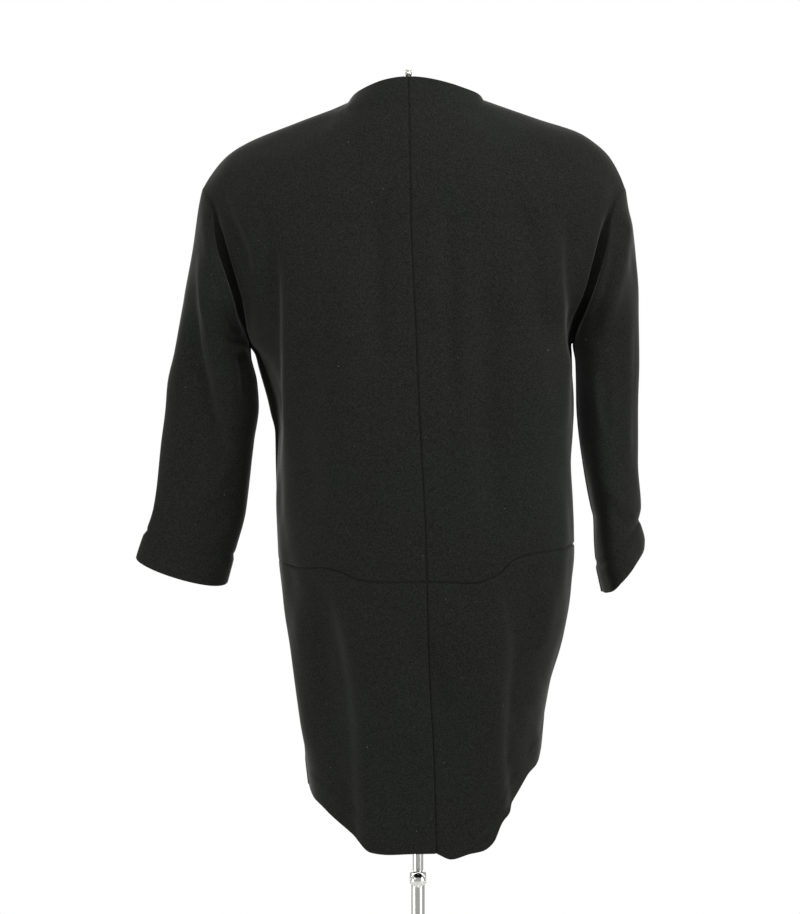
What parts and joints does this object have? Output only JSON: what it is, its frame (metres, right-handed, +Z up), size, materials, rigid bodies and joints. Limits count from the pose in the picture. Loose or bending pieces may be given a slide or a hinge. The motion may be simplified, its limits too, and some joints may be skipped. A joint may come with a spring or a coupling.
{
  "type": "collarless cocoon coat on a dress form stand",
  "caption": "Dark wool cocoon coat with kimono sleeves, worn by a limbless dress form on a height-adjustable chrome pole and round base.",
  "frame": {"origin": "on the floor under the middle of the round base, on the pole's axis", "axes": "+Z up along the pole; the coat's back faces -Y and its front +Y, so the wearer's left is -X"},
  "size_m": [0.6093, 0.3, 1.4244],
  "materials": {
    "wool": "milled wool with a short soft nap, matt",
    "jersey": "fine knitted cover, stretched smooth",
    "black_wood": "turned and stained black, satin lacquer",
    "chrome": "polished"
  },
  "bodies": {
    "stand": {"base": "chrome", "outer_tube": "chrome", "clamp_collar": "chrome"},
    "thumb_screw": {"clamp_screw": "chrome"},
    "pole": {"inner_pole": "chrome"},
    "coat_on_form": {"back_upper_left": "wool", "back_upper_right": "wool", "back_lower_left": "wool", "back_lower_right": "wool", "front_left": "wool", "front_right": "wool", "form_torso": "jersey", "neck_cap": "black_wood", "neck_finial": "chrome", "pole_flange": "chrome"}
  },
  "joints": [
    {"name": "pole_height", "type": "slide", "parent": "stand", "child": "pole", "axis": [0, 0, 1], "range_m": [-0.12, 0.15]},
    {"name": "form_swivel", "type": "hinge", "parent": "pole", "child": "coat_on_form", "pos_m": [0, 0, 0.74], "axis": [0, 0, 1], "continuous": true},
    {"name": "screw_turn", "type": "hinge", "parent": "stand", "child": "thumb_screw", "pos_m": [0, -0.0203, 0.456], "axis": [0, 1, 0], "range_deg": [0, 360]}
  ]
}
